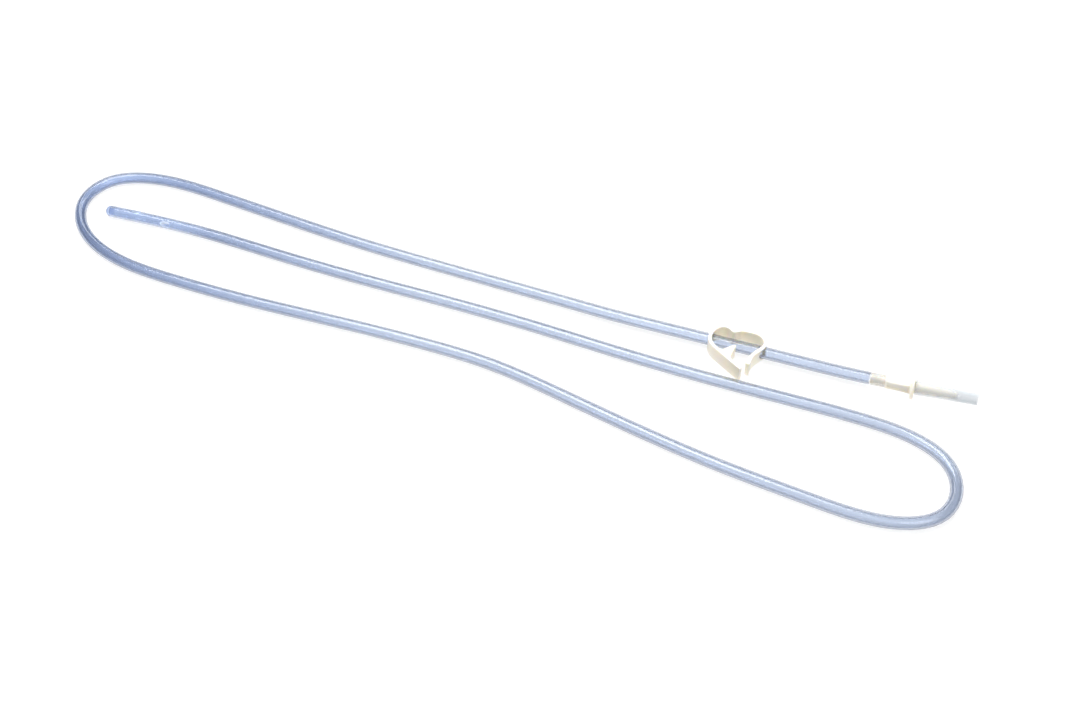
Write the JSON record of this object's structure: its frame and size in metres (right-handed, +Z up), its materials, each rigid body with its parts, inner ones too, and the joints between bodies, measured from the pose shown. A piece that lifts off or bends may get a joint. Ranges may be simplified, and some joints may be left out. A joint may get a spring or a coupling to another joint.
{
  "type": "uterine flushing tube",
  "caption": "Long clear tube with a closed round tip and side eyes, a heart-shaped pinch clamp threaded on it and a capped spike connector, laid down in flat loops.",
  "frame": {"origin": "on the floor under the centre of the box round the laid-out tube", "axes": "+X along the straight stretch of tube, from the clamp to the capped spike, +Y towards the far loop of the tube, +Z up from the floor"},
  "size_m": [0.5603, 0.1232, 0.0143],
  "materials": {
    "clear_blue_tube": "clear soft plastic with a bluish tint, glossy",
    "ivory_plastic": "moulded ivory plastic, slightly glossy",
    "frosted_cap": "thin translucent frosted plastic"
  },
  "bodies": {
    "tube": {"flushing_tube": "clear_blue_tube", "spike_connector": "ivory_plastic"},
    "clamp": {"pinch_clamp": "ivory_plastic"},
    "cap": {"spike_cap": "frosted_cap"}
  },
  "joints": [
    {"name": "clamp_slide", "type": "slide", "parent": "tube", "child": "clamp", "axis": [1, 0, 0], "range_m": [-0.04, 0.03]},
    {"name": "cap_pull", "type": "slide", "parent": "tube", "child": "cap", "axis": [0.9976, 0, 0.0698], "range_m": [0, 0.045]}
  ]
}
